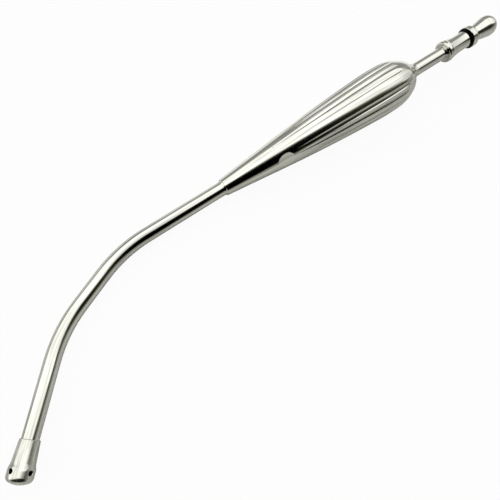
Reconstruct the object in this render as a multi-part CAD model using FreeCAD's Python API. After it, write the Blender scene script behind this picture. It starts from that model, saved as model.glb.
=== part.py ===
import FreeCAD, Part
import math
import os

os.makedirs("parts", exist_ok=True)

V = FreeCAD.Vector

# Suction tube, one drawn tube from the tip to the hose connector
tube_outer_d = 6.0
tube_wall = 0.8
bend_radius = 55.0
bend_angle = 23.6
run_between_bends = 14.6
run_ahead_of_handle = 37.85
run_to_tip = 26.2

# Fits between turned pieces and the tube
fit_clearance = 0.03

# Perforated tip, screwed on the front end of the tube
tip_edge_r = 3.3
tip_edge_chamfer = 0.18
tip_ferrule_length = 7.1
tip_ferrule_angle = 4.0
tip_flare_angle = 21.0
tip_flare_inner_r = 4.0
tip_flare_outer_r = 3.6
tip_band_length = 1.9
tip_nose_r = 2.0
tip_nose_angle = 65.0
tip_socket_depth = 5.5
tip_lumen_land = 1.5
tip_wall = 1.2
tip_end_wall = 1.3
tip_hole_d = 1.7
tip_hole_count = 4
tip_hole_phase = -24.5
tip_hole_setback = 4.1

# Handle, a hollow shell of revolution round the tube
handle_nose_r = 3.65
handle_cone_length = 31.2
handle_cone_angle = 6.1
handle_flank_r = 880.0
handle_crown_angle = 2.9
handle_crown_r = 120.0
handle_crown_end_angle = 3.0
handle_shoulder_r = 23.0
handle_shoulder_angle = 28.0
handle_dome_r = 11.0
handle_dome_angle = 50.0
handle_wall = 1.2
handle_nose_length = 8.0

# Flutes cut lengthwise in the handle on both sides of a smooth band
flute_count = 24
flute_cutter_r = 2.5
flute_ridge = 0.25
flute_front = 33.0
flute_long_front = 25.5
flute_long_place = 22
flute_runout = 18.0
smooth_band_angle = 26.4
smooth_band_phase = 28.0

# Finger rest, a shallow dish at the front ends of the flutes
rest_station = 28.8
rest_phase = 65.0
rest_depth = 0.7
rest_cutter_r = 12.0

# Solder fillets where the tube enters and leaves the handle
solder_angle = 50.0
solder_step = 0.12
solder_lip = 0.1

# Bare tube between the handle and the hose connector
stem_length = 22.4

# Hose connector, turned from bar and soldered on the rear end of the tube
lip_r = 3.75
lip_length = 0.8
bead_r = 5.0
bead_round_r = 0.8
bead_land = 1.2
bead_groove_width = 0.5
bead_groove_depth = 0.3
waist_start_r = 4.85
waist_min_r = 3.9
waist_fall_length = 8.9
waist_rise_length = 2.8
groove_r = 3.3
groove_width = 1.8
flange_r = 5.05
flange_chamfer = 0.15
flange_land = 2.35
flange_round_r = 1.2
flange_round_angle = 60.0
neck_r = 3.2
neck_angle = 10.2
bulb_round_r = 12.0
bulb_r = 4.92
mouth_rim_r = 2.8
mouth_chamfer = 0.3
connector_bore_d = 4.8
connector_socket_depth = 8.2

# Farthest that straight tapers lie inside the round that they stand in for
taper_inset = 0.05
cavity_inset = 0.35

# Way that the tube runs out of the connector, from which its bends are turned
toward_tip = 180.0

# Rounds of the search for the three points that the instrument lies on
settling_rounds = 40

# Sizes that follow from the ones above
tube_r = tube_outer_d / 2
lumen_r = tube_r - tube_wall
bore_r = tube_r + fit_clearance
connector_bore_r = connector_bore_d / 2
band_to_first_ridge = smooth_band_angle / 2
flute_pitch = (360.0 - smooth_band_angle) / flute_count


def sin(angle):
    return math.sin(math.radians(angle))


def cos(angle):
    return math.cos(math.radians(angle))


def tan(angle):
    return math.tan(math.radians(angle))


def along(heading):
    """Unit vector at a heading in the XY plane, in degrees from +X."""
    return V(cos(heading), sin(heading), 0)


def left_of(heading):
    """Unit vector to the left of a heading."""
    return V(-sin(heading), cos(heading), 0)


class Outline:
    """Lines and tangent arcs drawn end to end in the XY plane."""

    def __init__(self, x, y):
        self.start = V(x, y, 0)
        self.pen = self.start
        self.edges = []

    def line_to(self, x, y):
        target = V(x, y, 0)
        self.edges.append(Part.LineSegment(self.pen, target).toShape())
        self.pen = target
        return self

    def line(self, heading, length):
        target = self.pen + along(heading) * length
        return self.line_to(target.x, target.y)

    def arc(self, radius, from_heading, to_heading):
        """Arc that turns from one heading to the other, to the left when the heading grows."""
        side = 1 if to_heading > from_heading else -1
        centre = self.pen + left_of(from_heading) * radius * side
        middle = centre - left_of((from_heading + to_heading) / 2) * radius * side
        target = centre - left_of(to_heading) * radius * side
        self.edges.append(Part.Arc(self.pen, middle, target).toShape())
        self.pen = target
        return self

    def tapers(self, radius, from_heading, to_heading, inset=taper_inset):
        """Straight tapers with their ends on the arc of the same radius and headings."""
        widest = 2 * math.degrees(math.acos(1 - inset / radius))
        count = math.ceil(abs(to_heading - from_heading) / widest)
        turn = (to_heading - from_heading) / count
        for step in range(count):
            chord_heading = from_heading + turn * (step + 1 / 2)
            self.line(chord_heading, 2 * radius * sin(abs(turn) / 2))
        return self

    def wire(self):
        return Part.Wire(self.edges)

    def closed_wire(self):
        self.line_to(self.start.x, self.start.y)
        return self.wire()

    def turned(self):
        """Solid of revolution of the closed outline round the X axis."""
        return Part.Face(self.closed_wire()).revolve(V(), V(1, 0, 0), 360)


def handle_outer():
    """Outer half section of the handle, from its front edge to its rear face."""
    outline = Outline(0, handle_nose_r)
    cone_end_r = handle_nose_r + handle_cone_length * tan(handle_cone_angle)
    outline.line_to(handle_cone_length, cone_end_r)
    outline.arc(handle_flank_r, handle_cone_angle, handle_crown_angle)
    outline.arc(handle_crown_r, handle_crown_angle, -handle_crown_end_angle)
    outline.tapers(handle_shoulder_r, -handle_crown_end_angle, -handle_shoulder_angle)
    outline.arc(handle_dome_r, -handle_shoulder_angle, -handle_dome_angle)
    return outline


# Stations along the handle axis, which is X, with the front edge of the handle at zero
cone_end = V(handle_cone_length, handle_nose_r + handle_cone_length * tan(handle_cone_angle), 0)
flank_centre = cone_end - left_of(handle_cone_angle) * handle_flank_r
crown_start = flank_centre + left_of(handle_crown_angle) * handle_flank_r
crown_centre = crown_start - left_of(handle_crown_angle) * handle_crown_r
crown_top = crown_centre + left_of(0) * handle_crown_r
handle_end = handle_outer().pen
connector_start = handle_end.x + stem_length
tube_end = connector_start + connector_socket_depth


def surface_point(station):
    """Point of the handle's outer half section at a station on its cone or flank."""
    if station <= cone_end.x:
        return V(station, handle_nose_r + station * tan(handle_cone_angle), 0)
    rise = math.sqrt(handle_flank_r ** 2 - (station - flank_centre.x) ** 2)
    return V(station, flank_centre.y + rise, 0)


def surface_heading(station):
    """Slope of the handle's outer half section at a station on its cone or flank."""
    if station <= cone_end.x:
        return handle_cone_angle
    offset = (flank_centre.x - station) / handle_flank_r
    return math.degrees(math.asin(offset))


def handle_section():
    """Half section between the outside of the handle and its bore for the tube."""
    outline = handle_outer()
    outline.line_to(outline.pen.x, bore_r)
    outline.line_to(0, bore_r)
    return Part.Face(outline.closed_wire())


def cavity():
    """Hollow of the handle in straight tapers, nowhere nearer to the outside than the wall."""
    start_r = handle_nose_r - handle_wall / cos(handle_cone_angle)
    inner = Outline(handle_nose_length, start_r + handle_nose_length * tan(handle_cone_angle))
    inner_cone_end = cone_end - left_of(handle_cone_angle) * handle_wall
    inner.line_to(inner_cone_end.x, inner_cone_end.y)
    rounds = [
        (handle_flank_r, handle_cone_angle, handle_crown_angle),
        (handle_crown_r, handle_crown_angle, -handle_crown_end_angle),
        (handle_shoulder_r, -handle_crown_end_angle, -handle_shoulder_angle),
        (handle_dome_r, -handle_shoulder_angle, -handle_dome_angle),
    ]
    for radius, from_heading, to_heading in rounds:
        inner.tapers(radius - handle_wall, from_heading, to_heading, cavity_inset)
    inner.line_to(inner.pen.x, 0)
    inner.line_to(handle_nose_length, 0)
    return inner.turned()


def sector(section, angle):
    """Part of the shell that spans an angle to both sides of the XY plane."""
    wedge = section.revolve(V(), V(1, 0, 0), angle)
    wedge.rotate(V(), V(1, 0, 0), -angle / 2)
    return wedge


def flute_depth():
    """Depth at the crown that leaves a narrow ridge between two flutes."""
    half_width = (crown_top.y * math.radians(flute_pitch) - flute_ridge) / 2
    return half_width ** 2 / 2 * (1 / flute_cutter_r + 1 / crown_top.y)


def flute_cutter(front):
    """Round cutter that sinks into the flank at the front and leaves over the shoulder."""
    reach = flute_cutter_r - flute_depth()
    join = crown_start + left_of(handle_crown_angle) * reach
    entry = surface_point(front) + left_of(surface_heading(front)) * flute_cutter_r
    inward = left_of(handle_crown_angle) * -1
    chord = entry - join
    radius = chord.Length ** 2 / (2 * chord.dot(inward))
    centre = join + inward * radius
    entry_heading = math.degrees(math.asin((centre.x - entry.x) / radius))
    path = Outline(entry.x, entry.y)
    path.pen = entry - along(entry_heading) * flute_cutter_r
    path.line_to(entry.x, entry.y)
    path.arc(radius, entry_heading, handle_crown_angle)
    path.arc(handle_crown_r + reach, handle_crown_angle, -handle_crown_end_angle / 2)
    path.line(-handle_crown_end_angle / 2, flute_runout)
    begin = entry - along(entry_heading) * flute_cutter_r
    circle = Part.Wire(Part.Circle(begin, along(entry_heading), flute_cutter_r).toShape())
    return path.wire().makePipeShell([circle], True, False)


def flute_phase(place):
    """Angle of a flute from +Z towards -Y, counted on from the smooth band."""
    return smooth_band_phase + band_to_first_ridge + flute_pitch * (place + 1 / 2)


def turned_to(shape, phase):
    """Shape drawn in the XY plane, turned round X to an angle from +Z towards -Y."""
    copy = shape.copy()
    copy.rotate(V(), V(1, 0, 0), phase + 90)
    return copy


def finger_rest_cutter():
    """Cylinder across the handle whose rim dips into the cone."""
    heading = surface_heading(rest_station)
    centre = surface_point(rest_station) + left_of(heading) * (rest_cutter_r - rest_depth)
    base = centre - V(0, 0, crown_top.y)
    return Part.makeCylinder(rest_cutter_r, 2 * crown_top.y, base, V(0, 0, 1))


def make_handle():
    """Smooth band and fluted sectors, which meet along the ridges, joined into one shell."""
    section = handle_section()
    band = turned_to(sector(section, smooth_band_angle), smooth_band_phase)
    fluted = sector(section, flute_pitch).cut(flute_cutter(flute_front))
    long_fluted = sector(section, flute_pitch).cut(flute_cutter(flute_long_front))
    ring = []
    for place in range(flute_count):
        piece = long_fluted if place == flute_long_place else fluted
        ring.append(turned_to(piece, flute_phase(place)))
    shell = band.multiFuse(ring).cut(cavity())
    return shell.cut(turned_to(finger_rest_cutter(), rest_phase)).Solids[0]


def bend(path, heading):
    """Rear bend, the run between the bends and the front bend as far as a heading."""
    between = toward_tip + bend_angle
    path.arc(bend_radius, toward_tip, between)
    path.line(between, run_between_bends)
    path.arc(bend_radius, between, heading)
    return path


def elbow_point(heading):
    """Point on the front bend's centre line where the tube runs at a heading."""
    return bend(Outline(-run_ahead_of_handle, 0), heading).pen


def tube_path():
    """Centre line of the tube from its rear end in the connector to its front end in the tip."""
    path = Outline(tube_end, 0)
    path.line_to(-run_ahead_of_handle, 0)
    bend(path, tip_heading)
    path.line(tip_heading, run_to_tip + tip_socket_depth)
    return path


def make_tube():
    wire = tube_path().wire()
    solids = []
    for radius in (tube_r, lumen_r):
        circle = Part.Wire(Part.Circle(V(tube_end, 0, 0), V(-1, 0, 0), radius).toShape())
        solids.append(wire.makePipeShell([circle], True, False))
    return solids[0].cut(solids[1])


def tip_flare():
    """Outer half section of the tip along +X, from its edge on the tube to its band."""
    outline = Outline(0, tip_edge_r)
    outline.line(45, tip_edge_chamfer * math.sqrt(2))
    outline.line(tip_ferrule_angle, tip_ferrule_length)
    outline.tapers(tip_flare_inner_r, tip_ferrule_angle, tip_flare_angle)
    outline.tapers(tip_flare_outer_r, tip_flare_angle, 0)
    return outline


def tip_outer():
    """Outer half section of the whole tip."""
    outline = tip_flare()
    outline.line(0, tip_band_length)
    outline.tapers(tip_nose_r, 0, -tip_nose_angle)
    end_r = outline.pen.y / cos(tip_nose_angle)
    outline.arc(end_r, -tip_nose_angle, -90)
    return outline


def make_tip():
    outer = tip_outer()
    length = outer.pen.x
    band_r = tip_flare().pen.y
    chamber_r = band_r - tip_wall
    chamber_end = length - tip_end_wall
    lumen_end = tip_socket_depth + tip_lumen_land
    outer.line_to(0, 0)
    inner = Outline(-tip_socket_depth, 0)
    inner.line_to(-tip_socket_depth, bore_r)
    inner.line_to(tip_socket_depth, bore_r)
    inner.line_to(tip_socket_depth, lumen_r)
    inner.line_to(lumen_end, lumen_r)
    inner.line_to(lumen_end + chamber_r - lumen_r, chamber_r)
    inner.line_to(chamber_end, chamber_r)
    inner.line_to(chamber_end, 0)
    tip = outer.turned().cut(inner.turned())
    hole_r = tip_hole_d / 2
    end_hole = Part.makeCylinder(hole_r, length, V(length / 2, 0, 0), V(1, 0, 0))
    tip = tip.cut(end_hole)
    station = length - tip_hole_setback
    for place in range(tip_hole_count):
        hole = Part.makeCylinder(hole_r, band_r * 2, V(station, 0, 0), V(0, 0, 1))
        hole.rotate(V(), V(1, 0, 0), -tip_hole_phase - place * 360 / tip_hole_count)
        tip = tip.cut(hole)
    return tip


def make_connector():
    """Turned hose end, drawn along +X from its front lip."""
    outline = Outline(0, bore_r)
    outline.line_to(0, lip_r)
    outline.line_to(lip_length, lip_r)
    outline.line_to(lip_length, bead_r - bead_round_r)
    outline.tapers(bead_round_r, 90, 0)
    outline.line(0, bead_land)
    outline.line_to(outline.pen.x + bead_groove_width / 2, waist_start_r - bead_groove_depth)
    outline.line_to(outline.pen.x + bead_groove_width / 2, waist_start_r)
    fall = waist_start_r - waist_min_r
    waist_r = (waist_fall_length ** 2 + fall ** 2) / (2 * fall)
    outline.arc(waist_r, -math.degrees(math.asin(waist_fall_length / waist_r)), 0)
    outline.arc(waist_r, 0, math.degrees(math.asin(waist_rise_length / waist_r)))
    outline.line_to(outline.pen.x, groove_r)
    outline.line(0, groove_width)
    outline.line_to(outline.pen.x, flange_r - flange_chamfer)
    outline.line(45, flange_chamfer * math.sqrt(2))
    outline.line(0, flange_land)
    outline.tapers(flange_round_r, 0, -flange_round_angle)
    outline.line_to(outline.pen.x, neck_r)
    swell_r = bulb_r - bulb_round_r * (1 - cos(neck_angle))
    outline.line(neck_angle, (swell_r - neck_r) / sin(neck_angle))
    outline.arc(bulb_round_r, neck_angle, 0)
    outline.arc(bulb_r, 0, -math.degrees(math.acos(mouth_rim_r / bulb_r)))
    length = outline.pen.x
    outline.line_to(length, connector_bore_r + mouth_chamfer)
    outline.line_to(length - mouth_chamfer, connector_bore_r)
    outline.line_to(connector_socket_depth, connector_bore_r)
    outline.line_to(connector_socket_depth, bore_r)
    return outline.turned()


def make_front_solder():
    """Fillet of solder between the tube and the front face of the handle."""
    top_r = handle_nose_r - solder_step
    radius = (top_r - tube_r - solder_lip) / (1 - cos(solder_angle))
    outline = Outline(-radius * sin(solder_angle), bore_r)
    outline.line_to(outline.pen.x, tube_r + solder_lip)
    outline.tapers(radius, 0, solder_angle)
    outline.line_to(0, bore_r)
    return outline.turned()


def make_rear_solder():
    """Concave fillet of solder that carries the dome's slope down on to the stem."""
    radius = (handle_end.y - tube_r - solder_lip) / (1 - cos(handle_dome_angle))
    outline = Outline(handle_end.x, bore_r)
    outline.line_to(handle_end.x, handle_end.y)
    outline.tapers(radius, -handle_dome_angle, 0)
    outline.line_to(outline.pen.x, bore_r)
    return outline.turned()


def flank_ring(slope):
    """Centre and radius of the handle where its outer section runs at a slope."""
    point = flank_centre + left_of(slope) * handle_flank_r
    return V(point.x, 0, 0), point.y


def lying_up(tip_band, tip_band_r):
    """Upward normal of the floor that the handle, the front bend and the tip all touch."""
    up = V(0, 0, 1)
    axis = V(1, 0, 0)
    elbow_heading = toward_tip + bend_angle * 3 / 2
    for _ in range(settling_rounds):
        slope = max(handle_crown_angle, math.degrees(math.asin(up.x)))
        handle_centre, handle_r = flank_ring(slope)
        rings = [
            (handle_centre, axis, handle_r),
            (elbow_point(elbow_heading), along(elbow_heading), tube_r),
            (tip_band, along(tip_heading), tip_band_r),
        ]
        feet = []
        for centre, ring_axis, radius in rings:
            down = ring_axis * up.dot(ring_axis) - up
            feet.append(centre + down.normalize() * radius)
        up = (feet[1] - feet[0]).cross(feet[2] - feet[0]).normalize()
        if up.z < 0:
            up = up * -1
        elbow_heading = toward_tip + math.degrees(math.atan2(up.x, -up.y))
    return up, feet[0].dot(up)


tip_heading = toward_tip + bend_angle * 2
tip_start = elbow_point(tip_heading) + along(tip_heading) * run_to_tip
tip_band_start = tip_flare().pen
tip_band_centre = tip_start + along(tip_heading) * tip_band_start.x

tip_piece = make_tip()
tip_piece.rotate(V(), V(0, 0, 1), tip_heading)
tip_piece.translate(tip_start)
connector_piece = make_connector()
connector_piece.translate(V(connector_start, 0, 0))

nodes = {
    "suction_tube": make_tube(),
    "bulb_tip": tip_piece,
    "handle_shell": make_handle(),
    "hose_connector": connector_piece,
    "front_solder_fillet": make_front_solder(),
    "rear_solder_fillet": make_rear_solder(),
}

# The instrument lies on its side, with the handle's axis over the X direction
up, floor = lying_up(tip_band_centre, tip_band_start.y)
across = up.cross(V(1, 0, 0)).normalize()
forward = across.cross(up)
lying = FreeCAD.Matrix(
    forward.x, forward.y, forward.z, 0,
    across.x, across.y, across.z, 0,
    up.x, up.y, up.z, -floor,
    0, 0, 0, 1,
)
placed = {name: shape.transformed(lying) for name, shape in nodes.items()}
box = Part.makeCompound(list(placed.values())).optimalBoundingBox(False, False)
for name, shape in placed.items():
    shape.translate(V(-(box.XMin + box.XMax) / 2, -(box.YMin + box.YMax) / 2, 0))
    shape.exportStep(f"parts/{name}.step")
    print(name, shape.isValid(), len(shape.Solids), round(shape.Volume, 1))
print("box", round(box.XLength, 2), round(box.YLength, 2), round(box.ZLength, 2), round(box.ZMin, 3))
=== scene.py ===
"""Looks of a yankauer suction tip: a bent steel tube, a bulb tip, a fluted handle and a hose end.

Shapes are drawn in the instrument's own axes, in millimetres: X runs along the handle from its
front edge to the hose end, -Y is the side that the tube bends to, and Z is the normal of the plane
of the bend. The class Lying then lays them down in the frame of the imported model, in metres.
"""

import logging
import math
from dataclasses import dataclass, field
from enum import Enum

import bpy
import numpy as np
from mathutils import Matrix, Vector


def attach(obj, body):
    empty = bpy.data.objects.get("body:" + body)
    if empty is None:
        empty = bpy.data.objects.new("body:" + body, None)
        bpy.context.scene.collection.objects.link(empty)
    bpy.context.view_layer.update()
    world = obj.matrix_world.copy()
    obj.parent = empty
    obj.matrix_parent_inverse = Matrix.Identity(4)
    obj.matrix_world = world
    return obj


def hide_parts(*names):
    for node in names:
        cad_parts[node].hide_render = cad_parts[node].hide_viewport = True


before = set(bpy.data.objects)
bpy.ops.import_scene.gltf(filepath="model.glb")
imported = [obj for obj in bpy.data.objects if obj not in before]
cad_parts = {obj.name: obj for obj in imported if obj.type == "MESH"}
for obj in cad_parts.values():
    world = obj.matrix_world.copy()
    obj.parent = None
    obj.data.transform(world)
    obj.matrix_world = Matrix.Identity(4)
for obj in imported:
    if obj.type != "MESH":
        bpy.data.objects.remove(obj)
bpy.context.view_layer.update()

log = logging.getLogger("yankauer")

MM = 0.001
WHITE = (1.0, 1.0, 1.0, 1.0)


def turned_by(angle: float) -> np.ndarray:
    """Unit vector at an angle in degrees from the first axis of a plane."""
    return np.array([math.cos(math.radians(angle)), math.sin(math.radians(angle))])


def left_of(heading: float) -> np.ndarray:
    """Unit vector to the left of a heading in degrees."""
    return turned_by(heading + 90.0)


def linear(hex_colour: str) -> tuple[float, float, float, float]:
    """Turn an sRGB hex value into a linear colour with full alpha.

    Args:
        hex_colour: Six hex digits after a hash.

    Returns:
        Red, green, blue and alpha.
    """
    parts = np.array([int(hex_colour[i:i + 2], 16) for i in (1, 3, 5)]) / 255.0
    values = np.where(parts <= 0.04045, parts / 12.92, ((parts + 0.055) / 1.055) ** 2.4)
    return (*values.tolist(), 1.0)


@dataclass(frozen=True)
class Lying:
    """How the instrument lies on the floor, by the slope and roll of its handle."""

    slope: float = 3.2996
    roll: float = 5.6717
    front_edge: tuple[float, float, float] = (-20.7653, 21.8288, 6.2278)

    def turn(self) -> np.ndarray:
        """Rotation from the instrument's axes to those of the frame."""
        roll = Matrix.Rotation(-math.radians(self.roll), 3, "X")
        slope = Matrix.Rotation(-math.radians(self.slope), 3, "Y")
        return np.array(slope @ roll)

    def place(self, points: np.ndarray) -> np.ndarray:
        """Points in the frame, in metres."""
        return (points @ self.turn().T + np.array(self.front_edge)) * MM

    def aim(self, directions: np.ndarray) -> np.ndarray:
        """Directions in the frame."""
        return directions @ self.turn().T


@dataclass
class Patch:
    """Grid of points on a smooth stretch of surface, with its normals and its lay.

    The lay is where each point is for the pattern of the finish: the way along the piece, and two
    coordinates round it, in millimetres. A recessed patch takes the piece's second material, a dark
    steel that paints the shade which falls in recesses.
    """

    points: np.ndarray
    normals: np.ndarray
    lay: np.ndarray
    recessed: bool = False

    def corners(self, first: int) -> np.ndarray:
        """Corner numbers of the quads, turned so that the faces look along the normals."""
        rows, columns = self.points.shape[:2]
        number = first + np.arange(rows * columns).reshape(rows, columns)
        quads = np.stack(
            [number[:-1, :-1], number[:-1, 1:], number[1:, 1:], number[1:, :-1]], axis=-1)
        across = self.points[1:, 1:] - self.points[:-1, :-1]
        along = self.points[1:, :-1] - self.points[:-1, 1:]
        facing = np.sum(np.cross(across, along) * self.normals[:-1, :-1])
        quads = quads.reshape(-1, 4)
        return quads if facing > 0 else quads[:, ::-1]


class Skin:
    """Piece of the object, made of patches whose borders meet."""

    weld = 1e-4

    def __init__(self, name: str) -> None:
        self.name = name
        self.patches: list[Patch] = []

    def add(self, patch: Patch) -> None:
        """Add a patch."""
        self.patches.append(patch)

    def build(self, lying: Lying, finishes_and_shade: list[bpy.types.Material]) -> bpy.types.Object:
        """Join the patches into one mesh object.

        Points that lie closer than the weld distance become one. A quad whose corners fall together
        loses them. Each corner keeps the normal of its own patch, so edges between patches stay
        crisp.

        Args:
            lying: Where the instrument lies.
            finishes_and_shade: Finish of the outside, and the painted shade of the recesses.

        Returns:
            The object, at the origin of the frame.
        """
        points = np.concatenate([p.points.reshape(-1, 3) for p in self.patches])
        normals = np.concatenate([p.normals.reshape(-1, 3) for p in self.patches])
        lay = np.concatenate([p.lay.reshape(-1, 3) for p in self.patches])
        starts = np.cumsum([0] + [p.points.shape[0] * p.points.shape[1] for p in self.patches[:-1]])
        fields = [p.corners(start) for p, start in zip(self.patches, starts)]
        quads = np.concatenate(fields)
        # 1 for faces in a recess, which take the dark steel of painted shade; 0 for the outside
        # finish.
        finish = np.concatenate(
            [np.full(len(f), int(p.recessed)) for f, p in zip(fields, self.patches)])

        cells = np.round(points / self.weld).astype(np.int64)
        _, first, place = np.unique(cells, axis=0, return_index=True, return_inverse=True)
        welded = place.reshape(-1)[quads]
        kept = welded != np.roll(welded, -1, axis=1)
        whole = kept.sum(axis=1) >= 3
        quads, welded, kept = quads[whole], welded[whole], kept[whole]
        sizes = kept.sum(axis=1)
        loops = welded[kept]
        faces = np.split(loops, np.cumsum(sizes)[:-1])

        mesh = bpy.data.meshes.new(self.name)
        mesh.from_pydata(lying.place(points[first]), [], [face.tolist() for face in faces])
        mesh.polygons.foreach_set("use_smooth", np.ones(len(faces), dtype=bool))
        attribute = mesh.attributes.new("lay", "FLOAT_VECTOR", "POINT")
        attribute.data.foreach_set("vector", lay[first].astype(np.float32).ravel())
        corner_normals = lying.aim(normals[quads[kept]])
        mesh.normals_split_custom_set(corner_normals.tolist())
        for material in finishes_and_shade:
            mesh.materials.append(material)
        mesh.polygons.foreach_set("material_index", finish[whole].astype(np.int32))
        piece = bpy.data.objects.new(self.name, mesh)
        bpy.context.scene.collection.objects.link(piece)
        log.info("%s: %d faces", self.name, len(faces))
        return piece


@dataclass
class Span:
    """Line or arc of an outline: points (station, radius) and the outward normal at each."""

    points: np.ndarray
    normals: np.ndarray
    recessed: bool


class Outline:
    """Half section of a turned piece, drawn as lines and tangent arcs.

    The outward normal is to the left of the way that the outline is drawn.
    """

    arc_step = 3.0

    def __init__(self, station: float, radius: float, recessed: bool = False) -> None:
        self.pen = np.array([station, radius], dtype=float)
        self.recessed = recessed
        self.spans: list[Span] = []

    def recess(self, recessed: bool = True) -> None:
        """Set whether the spans that follow lie in a recess, painted with shade by the dark steel.
        """
        self.recessed = recessed

    def line_to(self, station: float, radius: float, steps: int = 1) -> None:
        """Straight span to a point."""
        target = np.array([station, radius], dtype=float)
        share = np.linspace(0.0, 1.0, steps + 1)[:, None]
        way = target - self.pen
        normal = np.array([-way[1], way[0]]) / np.linalg.norm(way)
        self.spans.append(
            Span(self.pen + way * share, np.tile(normal, (steps + 1, 1)), self.recessed))
        self.pen = target

    def line(self, heading: float, length: float, steps: int = 1) -> None:
        """Straight span along a heading."""
        target = self.pen + turned_by(heading) * length
        self.line_to(target[0], target[1], steps)

    def arc(self, radius: float, from_heading: float, to_heading: float) -> None:
        """Arc from one heading to the other, about a centre on the side that it turns to."""
        side = 1.0 if to_heading > from_heading else -1.0
        centre = self.pen + left_of(from_heading) * radius * side
        steps = max(2, math.ceil(abs(to_heading - from_heading) / self.arc_step))
        headings = np.radians(np.linspace(from_heading, to_heading, steps + 1))
        normals = np.stack([-np.sin(headings), np.cos(headings)], axis=-1)
        points = centre - normals * radius * side
        self.spans.append(Span(points, normals, self.recessed))
        self.pen = points[-1]


def ring_directions(phases: np.ndarray) -> np.ndarray:
    """Unit vectors across the X axis at phases in radians, counted from +Z towards -Y."""
    zero = np.zeros_like(phases)
    return np.stack([zero, -np.sin(phases), np.cos(phases)], axis=-1)


@dataclass(frozen=True)
class Turning:
    """Axis that half sections are turned about, at a heading in the plane of the bend."""

    start: tuple[float, float] = (0.0, 0.0)
    heading: float = 0.0
    lay_radius: float = 4.0

    def carry(self, local: np.ndarray) -> np.ndarray:
        """Directions drawn along +X, turned to the heading."""
        cosine, sine = turned_by(self.heading)
        turn = np.array([[cosine, -sine, 0.0], [sine, cosine, 0.0], [0.0, 0.0, 1.0]])
        return local @ turn.T

    def patch(self, stations: np.ndarray, radii: np.ndarray, phases: np.ndarray,
              normals: np.ndarray) -> Patch:
        """Surface of points at stations, radii and phases.

        Args:
            stations: Grid of stations along the axis.
            radii: Grid of distances from the axis.
            phases: Grid of phases in radians.
            normals: Grid of outward normals as (along, away from the axis).

        Returns:
            The patch: point = start + station * axis + radius * ring direction.
        """
        around = ring_directions(phases)
        axis = np.array([1.0, 0.0, 0.0])
        local = stations[..., None] * axis + radii[..., None] * around
        facing = normals[..., :1] * axis + normals[..., 1:] * around
        lay = stations[..., None] * axis + self.lay_radius * around
        return Patch(self.carry(local) + np.array([*self.start, 0.0]), self.carry(facing), lay)

    def turn(self, skin: Skin, outline: Outline, phases: np.ndarray) -> None:
        """Turn every span of a half section into a patch of the skin."""
        for span in outline.spans:
            shape = (len(span.points), len(phases))
            patch = self.patch(
                np.broadcast_to(span.points[:, :1], shape),
                np.broadcast_to(span.points[:, 1:], shape),
                np.broadcast_to(phases, shape),
                np.broadcast_to(span.normals[:, None, :], (*shape, 2)),
            )
            patch.recessed = span.recessed
            skin.add(patch)


def full_turn(columns: int, first: float = -180.0) -> np.ndarray:
    """Phases in radians of evenly spaced columns that close a full turn."""
    return np.radians(first + np.linspace(0.0, 360.0, columns + 1))


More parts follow.
